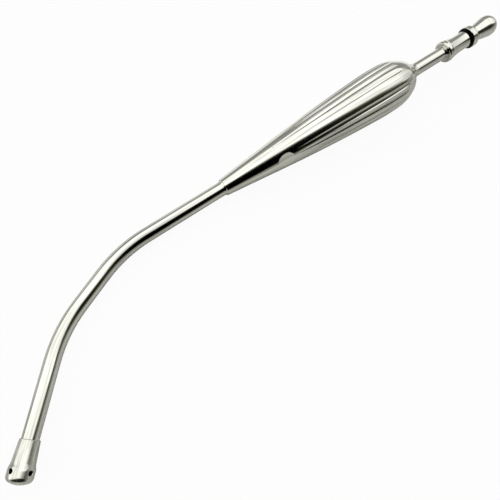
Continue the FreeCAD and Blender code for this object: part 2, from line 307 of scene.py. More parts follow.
@dataclass
class Tube:
    """The one drawn tube, with two gentle bends ahead of the handle."""

    outer_r: float = 3.0
    wall: float = 0.8
    bend_radius: float = 55.0
    bend_angle: float = 23.6
    run_between_bends: float = 14.6
    run_ahead_of_handle: float = 37.85
    run_to_tip: float = 26.2
    tip_socket: float = 5.5
    rear_end: float = 136.0
    run_steps: tuple[int, int, int] = (8, 2, 4)
    columns: int = 72

    @property
    def tip_heading(self) -> float:
        """Heading of the straight end of the tube, away from the handle."""
        return 180.0 + 2.0 * self.bend_angle

    def centre_line(self, to_tip_end: bool) -> tuple[np.ndarray, np.ndarray]:
        """Points of the centre line and their headings in radians.

        The line is straight, turns by the bend angle, is straight again, turns once more and ends
        in a straight run. On each bend a point is the bend's centre plus its radius times the
        direction away from that centre.

        Args:
            to_tip_end: Whether to go on through the socket of the tip.

        Returns:
            Points (n, 2) and headings (n,).
        """
        rear_steps, middle_steps, tip_steps = self.run_steps
        middle_heading = 180.0 + self.bend_angle
        path = Outline(self.rear_end, 0.0)
        path.line_to(-self.run_ahead_of_handle, 0.0, rear_steps)
        path.arc(self.bend_radius, 180.0, middle_heading)
        path.line(middle_heading, self.run_between_bends, middle_steps)
        path.arc(self.bend_radius, middle_heading, self.tip_heading)
        end_run = self.run_to_tip + (self.tip_socket if to_tip_end else 0.0)
        path.line(self.tip_heading, end_run, tip_steps)
        points = np.concatenate([span.points for span in path.spans])
        normals = np.concatenate([span.normals for span in path.spans])
        headings = np.arctan2(-normals[:, 0], normals[:, 1])
        kept = np.concatenate([[True], np.linalg.norm(np.diff(points, axis=0), axis=1) > 1e-6])
        return points[kept], headings[kept]

    def tip_start(self) -> tuple[float, float]:
        """Where the tip's front edge stands on the centre line."""
        points, _ = self.centre_line(False)
        return tuple(points[-1])

    def sweep(self, radius: float, outward: float) -> Patch:
        """Wall about the centre line: a point is centre + radius * (cos p * Z + sin p * left)."""
        centres, headings = self.centre_line(True)
        phases = full_turn(self.columns)
        left = np.stack([-np.sin(headings), np.cos(headings), np.zeros_like(headings)], axis=-1)
        up = np.array([0.0, 0.0, 1.0])
        around = (np.cos(phases)[None, :, None] * up
                  + np.sin(phases)[None, :, None] * left[:, None, :])
        middle = np.concatenate([centres, np.zeros((len(centres), 1))], axis=1)[:, None, :]
        steps = np.linalg.norm(np.diff(centres, axis=0), axis=1)
        run = np.concatenate([[0.0], np.cumsum(steps)])
        shape = around.shape[:2]
        lay = np.stack([
            np.broadcast_to(run[:, None], shape),
            np.broadcast_to(self.outer_r * np.sin(phases), shape),
            np.broadcast_to(self.outer_r * np.cos(phases), shape),
        ], axis=-1)
        return Patch(middle + radius * around, outward * around, lay)

    def skin(self) -> Skin:
        """Outer wall, lumen and the two cut ends."""
        skin = Skin("drawn_tube")
        outer = self.sweep(self.outer_r, 1.0)
        lumen = self.sweep(self.outer_r - self.wall, -1.0)
        skin.add(outer)
        skin.add(lumen)
        for row, away in ((0, 1.0), (-1, -1.0)):
            centres, headings = self.centre_line(True)
            facing = -away * np.array([math.cos(headings[row]), math.sin(headings[row]), 0.0])
            points = np.stack([outer.points[row], lumen.points[row]])
            lay = np.stack([outer.lay[row], lumen.lay[row]])
            skin.add(Patch(points, np.broadcast_to(facing, points.shape), lay))
        return skin


@dataclass
class Tip:
    """Turned and drilled tip on the front end of the tube."""

    edge_r: float = 3.3
    edge_chamfer: float = 0.18
    ferrule_length: float = 7.1
    ferrule_angle: float = 4.0
    ferrule_steps: int = 4
    flare_angle: float = 21.0
    flare_inner_r: float = 4.0
    flare_outer_r: float = 3.6
    band_length: float = 1.9
    nose_r: float = 2.0
    nose_angle: float = 65.0
    socket_depth: float = 5.5
    lumen_land: float = 1.5
    wall: float = 1.6
    end_wall: float = 1.3
    bore_r: float = 3.03
    lumen_r: float = 2.2
    hole_r: float = 0.85
    hole_phase: float = 24.5
    hole_count: int = 4
    hole_setback: float = 4.1
    hole_chamfer: float = 0.08
    zone_margin: float = 0.14
    zone_rings: int = 6
    zone_spread: float = 1.3
    side_steps: int = 12
    wide_steps: int = 24

    def ferrule(self) -> Outline:
        """Outer half section from the edge on the tube to the start of the band."""
        outline = Outline(0.0, self.bore_r)
        outline.line_to(0.0, self.edge_r)
        outline.line(45.0, self.edge_chamfer * math.sqrt(2.0))
        outline.line(self.ferrule_angle, self.ferrule_length, self.ferrule_steps)
        outline.arc(self.flare_inner_r, self.ferrule_angle, self.flare_angle)
        return outline

    def flare_end(self) -> np.ndarray:
        """Station and radius where the band starts."""
        outline = self.ferrule()
        outline.arc(self.flare_outer_r, self.flare_angle, 0.0)
        return outline.pen

    @property
    def length(self) -> float:
        """Length from the edge on the tube to the end of the nose."""
        band = self.flare_end()
        nose = Outline(band[0] + self.band_length, band[1])
        nose.arc(self.nose_r, 0.0, -self.nose_angle)
        end_r = nose.pen[1] / math.cos(math.radians(self.nose_angle))
        return float(nose.pen[0] + end_r * (1.0 - math.sin(math.radians(self.nose_angle))))

    def outer_surface(self, stations: np.ndarray) -> tuple[np.ndarray, np.ndarray]:
        """Radius and normal of the flare and band at stations near the holes."""
        band = self.flare_end()
        back = np.maximum(band[0] - stations, 0.0)
        depth = np.sqrt(self.flare_outer_r ** 2 - back ** 2)
        radii = band[1] - self.flare_outer_r + depth
        normals = np.stack([-back / self.flare_outer_r, depth / self.flare_outer_r], axis=-1)
        return radii, normals

    def chamber_surface(self, stations: np.ndarray) -> tuple[np.ndarray, np.ndarray]:
        """Radius and normal of the chamber behind the holes."""
        radii = np.full_like(stations, self.flare_end()[1] - self.wall)
        normals = np.stack([np.zeros_like(stations), -np.ones_like(stations)], axis=-1)
        return radii, normals

    def hole_rim(self, radius: float) -> tuple[np.ndarray, np.ndarray]:
        """Stations and offsets of points round a side hole, a quarter turn per side of its zone."""
        quarters = []
        for turn, steps in ((45.0, self.wide_steps), (-45.0, self.side_steps),
                            (-135.0, self.wide_steps), (-225.0, self.side_steps)):
            quarters.append(np.linspace(turn, turn - 90.0, steps, endpoint=False))
        angles = np.radians(np.concatenate([*quarters, [45.0 - 360.0]]))
        return radius * np.cos(angles), radius * np.sin(angles)

    def zone_border(self, low: float, high: float) -> tuple[np.ndarray, np.ndarray]:
        """Stations and phases of points round the four sides of a hole's zone."""
        half = math.pi / self.hole_count
        side = np.linspace(0.0, 1.0, self.side_steps, endpoint=False)
        wide = np.linspace(0.0, 1.0, self.wide_steps, endpoint=False)
        stations = np.concatenate([
            np.full(self.wide_steps, high), high + (low - high) * side,
            np.full(self.wide_steps, low), low + (high - low) * side, [high]])
        phases = np.concatenate([
            half - 2.0 * half * wide, np.full(self.side_steps, -half),
            -half + 2.0 * half * wide, np.full(self.side_steps, half), [half]])
        return stations, phases

    def drill(self, skin: Skin, turning: Turning, low: float, high: float) -> None:
        """Walls round the side holes, outside and in the chamber, and the walls of the holes.

        In each hole's zone a point lies between the rim of the hole, where the offset across is the
        radius times the sine of the phase, and the border of the zone, and is then lifted on to the
        turned surface. The rings of points are closer together near the rim.

        Args:
            skin: Skin of the tip.
            turning: Axis of the tip.
            low: Station where the zone starts.
            high: Station where the zone ends.
        """
        centre = self.length - self.hole_setback
        share = np.linspace(0.0, 1.0, self.zone_rings + 1)[:, None] ** self.zone_spread
        border_stations, border_phases = self.zone_border(low, high)
        for number in range(self.hole_count):
            turn = math.radians(self.hole_phase + number * 360.0 / self.hole_count)
            rims = []
            for surface, rim_r in ((self.outer_surface, self.hole_r + self.hole_chamfer),
                                   (self.chamber_surface, self.hole_r)):
                along, across = self.hole_rim(rim_r)
                rim_stations = centre + along
                rim_phases = np.arcsin(across / surface(rim_stations)[0])
                stations = rim_stations + (border_stations - rim_stations) * share
                phases = rim_phases + (border_phases - rim_phases) * share
                radii, normals = surface(stations)
                patch = turning.patch(stations, radii, phases + turn, normals)
                # The chamber's side of the zone takes the painted shade of the recesses.
                patch.recessed = rim_r == self.hole_r
                skin.add(patch)
                rims.append(patch)
            along, across = self.hole_rim(self.hole_r)
            rim_radii, _ = self.outer_surface(centre + along)
            heights = np.sqrt(rim_radii ** 2 - across ** 2) - self.hole_chamfer
            wall_radii = np.hypot(heights, across)
            wall_phases = np.arctan2(across, heights) + turn
            flat = np.zeros((len(along), 2))
            throat = turning.patch(centre + along, wall_radii, wall_phases, flat)
            lateral = np.array([0.0, -math.cos(turn), -math.sin(turn)])
            facing = turning.carry(-along[:, None] / self.hole_r * np.array([1.0, 0.0, 0.0])
                                   - across[:, None] / self.hole_r * lateral)
            outward = turning.carry(np.array([0.0, -math.sin(turn), math.cos(turn)]))
            bevel = (facing + outward) / math.sqrt(2.0)
            outer_rim, inner_rim = rims[0], rims[1]
            skin.add(Patch(
                np.stack([outer_rim.points[0], throat.points]),
                np.stack([bevel, bevel]),
                np.stack([outer_rim.lay[0], throat.lay])))
            # The hole's wall down into the chamber takes the painted shade of the recesses.
            skin.add(Patch(
                np.stack([throat.points, inner_rim.points[0]]),
                np.stack([facing, facing]),
                np.stack([throat.lay, inner_rim.lay[0]]),
                recessed=True))

    def skin(self, tube: Tube) -> Skin:
        """Outside, holes, chamber and socket of the tip."""
        skin = Skin("drilled_tip")
        turning = Turning(tube.tip_start(), tube.tip_heading, lay_radius=self.edge_r)
        band = self.flare_end()
        centre = self.length - self.hole_setback
        low = centre - self.hole_r - self.zone_margin
        high = centre + self.hole_r + self.zone_margin
        half = 180.0 / self.hole_count
        phases = full_turn(self.wide_steps * self.hole_count, self.hole_phase - half)

        back = self.ferrule()
        start_angle = math.degrees(math.asin((band[0] - low) / self.flare_outer_r))
        back.arc(self.flare_outer_r, self.flare_angle, start_angle)
        turning.turn(skin, back, phases)

        front = Outline(high, band[1])
        front.line_to(band[0] + self.band_length, band[1])
        front.arc(self.nose_r, 0.0, -self.nose_angle)
        end_r = front.pen[1] / math.cos(math.radians(self.nose_angle))
        end_angle = 90.0 - math.degrees(math.asin((self.hole_r + self.hole_chamfer) / end_r))
        front.arc(end_r, -self.nose_angle, -end_angle)
        front.line_to(front.pen[0] - self.hole_chamfer, self.hole_r)
        chamber_end = self.length - self.end_wall
        chamber_r = band[1] - self.wall
        # From the end hole on into the chamber the faces take the painted shade of the recesses.
        front.recess()
        front.line_to(chamber_end, self.hole_r)
        front.line_to(chamber_end, chamber_r)
        front.line_to(high, chamber_r)
        turning.turn(skin, front, phases)

        lumen_end = self.socket_depth + self.lumen_land
        # Chamber, lumen and socket take the painted shade of the recesses.
        inside = Outline(low, chamber_r, recessed=True)
        inside.line_to(lumen_end + chamber_r - self.lumen_r, chamber_r)
        inside.line_to(lumen_end, self.lumen_r)
        inside.line_to(self.socket_depth, self.lumen_r)
        inside.line_to(self.socket_depth, self.bore_r)
        inside.line_to(0.0, self.bore_r)
        turning.turn(skin, inside, phases)
        self.drill(skin, turning, low, high)
        return skin


@dataclass
class Handle:
    """Hollow handle with flutes cut lengthwise on both sides of a smooth band."""

    nose_r: float = 3.65
    cone_length: float = 31.2
    cone_angle: float = 6.1
    flank_r: float = 880.0
    crown_angle: float = 2.9
    crown_r: float = 120.0
    crown_end_angle: float = 3.0
    shoulder_r: float = 23.0
    shoulder_angle: float = 28.0
    dome_r: float = 11.0
    dome_angle: float = 50.0
    bore_r: float = 3.03
    flute_count: int = 24
    cutter_r: float = 2.7
    ridge: float = 0.25
    leave_share: float = 1.5
    flute_front: float = 33.0
    long_front: float = 25.5
    long_place: int = 22
    entry_within: float = 25.0
    leave_after: float = 45.0
    widest_swing: float = 70.0
    halvings: int = 50
    band_angle: float = 26.4
    band_phase: float = 28.0
    rest_station: float = 28.8
    rest_phase: float = 65.0
    rest_depth: float = 0.7
    rest_cutter_r: float = 12.0
    land_steps: int = 3
    scallop_steps: int = 12
    band_steps: int = 14
    front_rows: int = 120
    flute_rows: int = 96
    rear_rows: int = 14
    turning: Turning = field(default_factory=lambda: Turning(lay_radius=8.0))

    def __post_init__(self) -> None:
        """Work out the centres of the arcs of the outer half section."""
        cone = math.radians(self.cone_angle)
        start = np.array([self.cone_length, self.nose_r + self.cone_length * math.tan(cone)])
        headings = [self.cone_angle, self.crown_angle, -self.crown_end_angle, -self.shoulder_angle]
        ends = headings[1:] + [-self.dome_angle]
        self.arcs = []
        for radius, heading, end in zip(
                (self.flank_r, self.crown_r, self.shoulder_r, self.dome_r), headings, ends):
            centre = start - left_of(heading) * radius
            self.arcs.append((start[0], centre, radius))
            start = centre + left_of(end) * radius
        self.end = start
        self.crown_start = self.arcs[1][1] + left_of(self.crown_angle) * self.crown_r
        self.crown_top = self.arcs[1][1][1] + self.crown_r
        self.pitch = (360.0 - self.band_angle) / self.flute_count

    def surface(self, stations: np.ndarray) -> tuple[np.ndarray, np.ndarray]:
        """Radius and normal of the uncut outer surface: a cone, then four tangent arcs."""
        cone = math.radians(self.cone_angle)
        radii = self.nose_r + stations * math.tan(cone)
        slopes = np.full_like(radii, cone)
        for start, centre, radius in self.arcs:
            offset = np.clip((stations - centre[0]) / radius, -1.0, 1.0)
            beyond = stations > start
            radii = np.where(beyond, centre[1] + radius * np.sqrt(1.0 - offset ** 2), radii)
            slopes = np.where(beyond, -np.arcsin(offset), slopes)
        return radii, np.stack([-np.sin(slopes), np.cos(slopes)], axis=-1)

    def flute_depth(self) -> float:
        """Depth at the crown that leaves a narrow ridge between two flutes."""
        half_width = (self.crown_top * math.radians(self.pitch) - self.ridge) / 2.0
        return half_width ** 2 / 2.0 * (1.0 / self.cutter_r + 1.0 / self.crown_top)

    def cutter_path(self, front: float, runs: np.ndarray) -> tuple[np.ndarray, np.ndarray]:
        """Centre of the round cutter and its heading after it has run a length.

        It enters on an arc that is tangent to a line parallel to the crown, follows the crown and
        leaves on a straight line.

        Args:
            front: Station where the cutter touches the uncut surface.
            runs: Lengths from there.

        Returns:
            Centres (..., 2) and headings in radians.
        """
        reach = self.cutter_r - self.flute_depth()
        join = self.crown_start + left_of(self.crown_angle) * reach
        radius_here, normal = self.surface(np.array(front))
        entry = np.array([front, float(radius_here)]) + normal * self.cutter_r
        inward = -left_of(self.crown_angle)
        chord = entry - join
        entry_r = chord @ chord / (2.0 * chord @ inward)
        entry_centre = join + inward * entry_r
        crown = math.radians(self.crown_angle)
        leave = -math.radians(self.crown_end_angle) * self.leave_share
        enter = math.asin((entry_centre[0] - entry[0]) / entry_r)
        crown_r = self.crown_r + reach
        entry_length = (enter - crown) * entry_r
        crown_length = (crown - leave) * crown_r
        headings = np.where(
            runs < entry_length, enter - runs / entry_r,
            np.maximum(crown - (runs - entry_length) / crown_r, leave))
        normals = np.stack([-np.sin(headings), np.cos(headings)], axis=-1)
        on_entry = entry_centre + normals * entry_r
        on_crown = self.arcs[1][1] + normals * crown_r
        straight = np.maximum(runs - entry_length - crown_length, 0.0)[..., None]
        on_crown = on_crown + straight * np.array([math.cos(leave), math.sin(leave)])
        return np.where((runs < entry_length)[..., None], on_entry, on_crown), headings

    def cut_ring(self, centres: np.ndarray, headings: np.ndarray,
                 swings: np.ndarray) -> tuple[np.ndarray, np.ndarray, np.ndarray]:
        """Points of the cutter's rings: station, height over the axis and offset across."""
        across = self.cutter_r * np.sin(swings)
        down = self.cutter_r * np.cos(swings)
        stations = centres[..., 0] + down * np.sin(headings)
        heights = centres[..., 1] - down * np.cos(headings)
        return stations, heights, across

    def above_surface(self, centres: np.ndarray, headings: np.ndarray,
                      swings: np.ndarray) -> np.ndarray:
        """How far points of the cutter's rings stand over the uncut surface."""
        stations, heights, across = self.cut_ring(centres, headings, swings)
        return np.hypot(heights, across) - self.surface(stations)[0]

    def flute_rows_of(self, front: float) -> tuple[np.ndarray, np.ndarray, np.ndarray]:
        """Rings of the cutter from where it enters the surface to where it leaves.

        The ends and the half width of each ring are found by halving intervals. Rings are closer
        together near the ends, where the width changes fast.

        Args:
            front: Station where the cutter touches the uncut surface.

        Returns:
            Centres, headings and half widths as swings in radians.
        """
        ends = []
        for low, high, inside_is_high in ((0.0, self.entry_within, True),
                                          (self.leave_after, self.end[0] - front, False)):
            for _ in range(self.halvings):
                middle = (low + high) / 2.0
                centre, heading = self.cutter_path(front, np.array(middle))
                cuts = self.above_surface(centre, heading, np.array(0.0)) < 0.0
                if cuts == inside_is_high:
                    high = middle
                else:
                    low = middle
            ends.append((low + high) / 2.0)
        wave = (1.0 - np.cos(np.linspace(0.0, math.pi, self.flute_rows + 1))) / 2.0
        runs = ends[0] + (ends[1] - ends[0]) * wave
        centres, headings = self.cutter_path(front, runs)
        low_swing = np.zeros_like(runs)
        high_swing = np.full_like(runs, math.radians(self.widest_swing))
        for _ in range(self.halvings):
            middle = (low_swing + high_swing) / 2.0
            cuts = self.above_surface(centres, headings, middle) < 0.0
            low_swing = np.where(cuts, middle, low_swing)
            high_swing = np.where(cuts, high_swing, middle)
        return centres, headings, low_swing

    def rest(self, patch: Patch) -> Patch:
        """Finger rest: points inside the cross cutter drop on to it, straight down at its phase."""
        phase = math.radians(self.rest_phase)
        down = np.array([0.0, -math.sin(phase), math.cos(phase)])
        radius_here, normal = self.surface(np.array(self.rest_station))
        centre = (np.array([self.rest_station, float(radius_here)])
                  + normal * (self.rest_cutter_r - self.rest_depth))
        along = patch.points[..., 0] - centre[0]
        height = patch.points @ down
        floor = centre[1] - np.sqrt(np.maximum(self.rest_cutter_r ** 2 - along ** 2, 0.0))
        sunk = (height > floor) & (np.abs(along) < self.rest_cutter_r)
        dropped = patch.points + (floor - height)[..., None] * down
        points = np.where(sunk[..., None], dropped, patch.points)
        facing = (np.stack([-along, 0.0 * along, 0.0 * along], axis=-1)
                  + (centre[1] - floor)[..., None] * down) / self.rest_cutter_r
        normals = np.where(sunk[..., None], facing, patch.normals)
        return Patch(points, normals, patch.lay)

    def stretch(self, skin: Skin, stations: np.ndarray, phases: np.ndarray) -> None:
        """Uncut surface over a grid of stations and phases in degrees, with the finger rest."""
        radii, normals = self.surface(stations)
        skin.add(self.rest(self.turning.patch(stations, radii, np.radians(phases), normals)))

    def ends(self, skin: Skin, phases: np.ndarray) -> None:
        """Front edge, rear face and bore over some phases in degrees."""
        closing = Outline(self.end[0], self.end[1])
        closing.line_to(self.end[0], self.bore_r)
        closing.line_to(0.0, self.bore_r)
        closing.line_to(0.0, self.nose_r)
        self.turning.turn(skin, closing, np.radians(phases))

    def flute(self, skin: Skin, phase: float, front: float, borders: np.ndarray) -> None:
        """One flute with the lands beside it, and the uncut surface before and after it.

        Args:
            skin: Skin of the handle.
            phase: Phase of the middle of the flute, in degrees.
            front: Station where the flute starts.
            borders: Stations of the rows where this flute's sector meets the next.
        """
        centres, headings, halves = self.flute_rows_of(front)
        swing_share = np.linspace(-1.0, 1.0, self.scallop_steps + 1)
        swings = halves[:, None] * swing_share
        stations, heights, across = self.cut_ring(centres[:, None, :], headings[:, None], swings)
        offsets = np.arctan2(across, heights)
        turn = math.radians(phase)
        facing_up = np.cos(swings) * np.cos(headings)[:, None]
        facing_along = -np.cos(swings) * np.sin(headings)[:, None]
        facing_across = -np.sin(swings)
        scallop = self.turning.patch(
            stations, np.hypot(heights, across), offsets + turn, np.zeros((*stations.shape, 2)))
        up = ring_directions(np.array(turn))
        side = np.array([0.0, -math.cos(turn), -math.sin(turn)])
        scallop.normals = (facing_along[..., None] * np.array([1.0, 0.0, 0.0])
                           + facing_up[..., None] * up + facing_across[..., None] * side)
        skin.add(scallop)

        half_pitch = self.pitch / 2.0
        share = np.linspace(0.0, 1.0, self.land_steps + 1)
        edge_offsets = np.degrees(offsets[:, -1:])
        edge_stations = stations[:, -1:]
        land_stations = edge_stations + (borders[:, None] - edge_stations) * share
        land_offsets = edge_offsets + (half_pitch - edge_offsets) * share
        self.stretch(skin, land_stations, phase + land_offsets)
        self.stretch(skin, land_stations, phase - land_offsets)

        even = np.concatenate([-half_pitch * share[::-1], half_pitch * share[1:]])
        for row, edge, rows in ((0, 0.0, self.front_rows), (-1, self.end[0], self.rear_rows)):
            limit = np.concatenate([land_stations[row, ::-1], land_stations[row, 1:]])
            spread = np.concatenate([-land_offsets[row, ::-1], land_offsets[row, 1:]])
            blend = np.linspace(0.0, 1.0, rows + 1)[:, None]
            grid_stations = edge + (limit - edge) * blend
            grid_phases = phase + even + (spread - even) * blend
            self.stretch(skin, grid_stations, grid_phases)
        self.ends(skin, phase + even)

    def skin(self) -> Skin:
        """Whole handle, from flute to flute and across the smooth band."""
        skin = Skin("fluted_handle")
        centres, headings, halves = self.flute_rows_of(self.flute_front)
        borders = self.cut_ring(centres, headings, halves)[0]
        for place in range(self.flute_count):
            phase = self.band_phase + self.band_angle / 2.0 + self.pitch * (place + 0.5)
            front = self.long_front if place == self.long_place else self.flute_front
            self.flute(skin, phase, front, borders)
        phases = self.band_phase + np.linspace(-0.5, 0.5, self.band_steps + 1) * self.band_angle
        rows = np.concatenate([
            np.linspace(0.0, borders[0], self.front_rows + 1), borders[1:],
            np.linspace(borders[-1], self.end[0], self.rear_rows + 1)[1:]])
        grid = np.broadcast_to(rows[:, None], (len(rows), len(phases)))
        self.stretch(skin, grid, np.broadcast_to(phases, grid.shape))
        self.ends(skin, phases)
        return skin


@dataclass
class Solder:
    """Fillets of solder where the tube enters and leaves the handle."""

    handle: Handle
    tube_r: float = 3.0
    bore_r: float = 3.03
    front_angle: float = 50.0
    step: float = 0.12
    lip: float = 0.1
    columns: int = 96

    def front(self) -> Skin:
        """Hollow fillet ahead of the handle."""
        skin = Skin("front_fillet")
        top_r = self.handle.nose_r - self.step
        radius = (top_r - self.tube_r - self.lip) / (1.0 - math.cos(math.radians(self.front_angle)))
        outline = Outline(-radius * math.sin(math.radians(self.front_angle)), self.bore_r)
        outline.line_to(outline.pen[0], self.tube_r + self.lip)
        outline.arc(radius, 0.0, self.front_angle)
        outline.line_to(0.0, self.bore_r)
        outline.line_to(outline.spans[0].points[0, 0], self.bore_r)
        Turning().turn(skin, outline, full_turn(self.columns))
        return skin

    def rear(self) -> Skin:
        """Fillet that carries the slope of the handle's dome down on to the tube."""
        skin = Skin("rear_fillet")
        station, top_r = self.handle.end
        angle = self.handle.dome_angle
        radius = (top_r - self.tube_r - self.lip) / (1.0 - math.cos(math.radians(angle)))
        outline = Outline(station, self.bore_r)
        outline.line_to(station, top_r)
        outline.arc(radius, -angle, 0.0)
        outline.line_to(outline.pen[0], self.bore_r)
        outline.line_to(station, self.bore_r)
        Turning().turn(skin, outline, full_turn(self.columns))
        return skin


@dataclass
class Connector:
    """Turned hose end: lip, bead, waist, groove, flange, neck and bulb."""

    start: float = 127.8
    socket_r: float = 3.03
    lip_r: float = 3.75
    lip_length: float = 0.8
    bead_r: float = 5.0
    bead_round_r: float = 0.8
    bead_land: float = 1.2
    groove_cut: float = 0.5
    groove_depth: float = 0.3
    waist_start_r: float = 4.85
    waist_min_r: float = 3.9
    waist_fall: float = 8.9
    waist_rise: float = 2.8
    gap_r: float = 3.3
    gap_width: float = 1.8
    flange_r: float = 5.05
    flange_chamfer: float = 0.15
    flange_land: float = 2.35
    flange_round_r: float = 1.2
    flange_round_angle: float = 60.0
    neck_r: float = 3.2
    neck_angle: float = 10.2
    bulb_round_r: float = 12.0
    bulb_r: float = 4.92
    mouth_rim_r: float = 2.8
    mouth_chamfer: float = 0.3
    bore_r: float = 2.4
    socket_depth: float = 8.2
    edge_break: float = 0.06
    columns: int = 96

    def outline(self) -> Outline:
        """Half section, round the outside from the front lip and back through the bore."""
        cut = self.edge_break
        outline = Outline(0.0, self.socket_r)
        outline.line_to(0.0, self.lip_r - cut)
        outline.line_to(cut, self.lip_r)
        outline.line_to(self.lip_length, self.lip_r)
        outline.line_to(self.lip_length, self.bead_r - self.bead_round_r)
        outline.arc(self.bead_round_r, 90.0, 0.0)
        outline.line(0.0, self.bead_land)
        for groove_r in (self.waist_start_r - self.groove_depth, self.waist_start_r):
            outline.line_to(outline.pen[0] + self.groove_cut / 2.0, groove_r)
        fall = self.waist_start_r - self.waist_min_r
        waist_r = (self.waist_fall ** 2 + fall ** 2) / (2.0 * fall)
        outline.arc(waist_r, -math.degrees(math.asin(self.waist_fall / waist_r)), 0.0)
        outline.arc(waist_r, 0.0, math.degrees(math.asin(self.waist_rise / waist_r)))
        outline.line_to(outline.pen[0] + cut, outline.pen[1] - cut)
        # The groove between waist and flange takes the painted shade of the recesses.
        outline.recess()
        outline.line_to(outline.pen[0], self.gap_r)
        outline.line(0.0, self.gap_width - cut)
        outline.line_to(outline.pen[0], self.flange_r - self.flange_chamfer)
        outline.recess(False)
        outline.line(45.0, self.flange_chamfer * math.sqrt(2.0))
        outline.line(0.0, self.flange_land)
        outline.arc(self.flange_round_r, 0.0, -self.flange_round_angle)
        outline.line_to(outline.pen[0], self.neck_r)
        neck = math.radians(self.neck_angle)
        swell_r = self.bulb_r - self.bulb_round_r * (1.0 - math.cos(neck))
        outline.line(self.neck_angle, (swell_r - self.neck_r) / math.sin(neck))
        outline.arc(self.bulb_round_r, self.neck_angle, 0.0)
        outline.arc(self.bulb_r, 0.0, -math.degrees(math.acos(self.mouth_rim_r / self.bulb_r)))
        outline.line_to(outline.pen[0], self.bore_r + self.mouth_chamfer)
        outline.line_to(outline.pen[0] - self.mouth_chamfer, self.bore_r)
        outline.line_to(self.socket_depth, self.bore_r)
        outline.line_to(self.socket_depth, self.socket_r)
        outline.line_to(0.0, self.socket_r)
        return outline

    def skin(self) -> Skin:
        """The connector on the rear end of the tube."""
        skin = Skin("hose_end")
        turning = Turning((self.start, 0.0), lay_radius=self.bead_r)
        turning.turn(skin, self.outline(), full_turn(self.columns))
        return skin


class Grain(Enum):
    """Way that the fine lines of a finish run."""

    LENGTHWISE = "lengthwise"
    TURNED = "turned"


def add_node(tree: bpy.types.NodeTree, kind: str, settings: dict | None = None,
             links: dict | None = None) -> bpy.types.Node:
    """Add a node to a tree.

    Args:
        tree: Tree that gets the node.
        kind: Identifier of the node's type.
        settings: Values by attribute name, or by input name or number.
        links: Output sockets by the name or number of the input that each goes to.

    Returns:
        The node.
    """
    node = tree.nodes.new(kind)
    for name, value in (settings or {}).items():
        if isinstance(name, str) and hasattr(node, name):
            setattr(node, name, value)
        else:
            node.inputs[name].default_value = value
    for name, socket in (links or {}).items():
        tree.links.new(socket, node.inputs[name])
    return node


def add_math(tree: bpy.types.NodeTree, operation: str,
             *terms: float | bpy.types.NodeSocket) -> bpy.types.NodeSocket:
    """Add a math node to a tree.

    Args:
        tree: Tree that gets the node.
        operation: What the node does.
        terms: Numbers or output sockets that go to its inputs, in order.

    Returns:
        The result.
    """
    node = add_node(tree, "ShaderNodeMath", {"operation": operation})
    for place, term in enumerate(terms):
        if isinstance(term, bpy.types.NodeSocket):
            tree.links.new(term, node.inputs[place])
        else:
            node.inputs[place].default_value = term
    return node.outputs[0]


def add_fade(tree: bpy.types.NodeTree, value: bpy.types.NodeSocket, start: float, end: float,
             levels: tuple[float, float]) -> bpy.types.NodeSocket:
    """Add a smooth change from one level to another as a value goes from start to end."""
    fade = add_node(tree, "ShaderNodeMapRange", {
        "interpolation_type": "SMOOTHSTEP", "From Min": start, "From Max": end,
        "To Min": levels[0], "To Max": levels[1]}, {"Value": value})
    return fade.outputs[0]


@dataclass(frozen=True)
class Steel:
    """Stainless steel, ground and then polished, so fine lines lie under the shine.

    The lines spread a reflection across themselves and leave it sharp along them. Real grinding
    lines stand about 0.02 mm apart, too fine to show, so they are drawn at the line pitch. The
    contrast holds the values of the lines' noise at which the steel is dark and light.
    """

    name: str
    grain: Grain
    light: str = "#D7D7CE"
    dark: str = "#A6A69E"
    roughness: float = 0.11
    roughness_swing: float = 0.03
    line_pitch: float = 0.8
    line_depth: float = 0.014
    line_length: float = 30.0
    line_detail: float = 3.0
    line_roughness: float = 0.6
    contrast: tuple[float, float] = (0.35, 0.65)
    cloud_scale: float = 0.25
    cloud_detail: float = 2.0

    def material(self) -> bpy.types.Material:
        """Build the node tree of the finish."""
        material = bpy.data.materials.new(self.name)
        material.use_nodes = True
        tree = material.node_tree
        tree.nodes.clear()
        lay = add_node(tree, "ShaderNodeAttribute", {"attribute_name": "lay"}).outputs["Vector"]
        fine, slow = 1.0 / self.line_pitch, 1.0 / self.line_length
        along, around = (slow, fine) if self.grain is Grain.LENGTHWISE else (fine, slow)
        stretched = add_node(tree, "ShaderNodeVectorMath",
                             {"operation": "MULTIPLY", 1: (along, around, around)}, {0: lay})
        lines = add_node(tree, "ShaderNodeTexNoise", {
            "Scale": 1.0, "Detail": self.line_detail, "Roughness": self.line_roughness},
            {"Vector": stretched.outputs[0]}).outputs["Fac"]
        clouds = add_node(tree, "ShaderNodeTexNoise", {
            "Scale": self.cloud_scale, "Detail": self.cloud_detail},
            {"Vector": lay}).outputs["Fac"]
        share = add_node(tree, "ShaderNodeMapRange", {
            "From Min": self.contrast[0], "From Max": self.contrast[1]},
            {"Value": lines}).outputs[0]
        tint = add_node(tree, "ShaderNodeMix", {"data_type": "RGBA"}, {0: share})
        tint.inputs[6].default_value = linear(self.dark)
        tint.inputs[7].default_value = linear(self.light)
        gloss = add_node(tree, "ShaderNodeMapRange", {
            "To Min": self.roughness - self.roughness_swing,
            "To Max": self.roughness + self.roughness_swing}, {"Value": clouds})
        bump = add_node(tree, "ShaderNodeBump", {"Strength": 1.0, "Distance": self.line_depth * MM},
                        {"Height": lines})
        shader = add_node(tree, "ShaderNodeBsdfPrincipled", {"Metallic": 1.0}, {
            "Base Color": tint.outputs[2],
            "Roughness": gloss.outputs[0],
            "Normal": bump.outputs[0]})
        add_node(tree, "ShaderNodeOutputMaterial", None, {"Surface": shader.outputs[0]})
        return material


